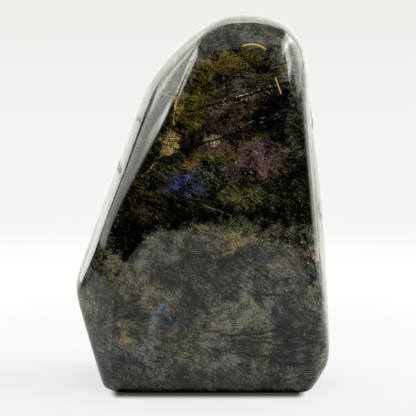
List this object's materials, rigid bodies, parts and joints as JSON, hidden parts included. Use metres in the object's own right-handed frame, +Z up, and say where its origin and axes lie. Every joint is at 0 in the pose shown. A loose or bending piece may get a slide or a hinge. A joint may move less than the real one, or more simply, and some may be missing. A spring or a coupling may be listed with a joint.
{
  "type": "polished labradorite freeform",
  "caption": "Free-standing hand-polished labradorite freeform with soft ground facets, a leaning rounded crown and a sawn flat base.",
  "frame": {"origin": "middle of the sawn base, under the middle of the stone's box", "axes": "+Z up from the base, -Y out of the broad front face, +X to the right as the front is seen"},
  "size_m": [0.0902, 0.0534, 0.1299],
  "materials": {
    "polished_labradorite": "high hand polish, dark grey-green with olive, gold, violet and blue schiller"
  },
  "bodies": {
    "root": {"stone": "polished_labradorite"}
  },
  "joints": []
}
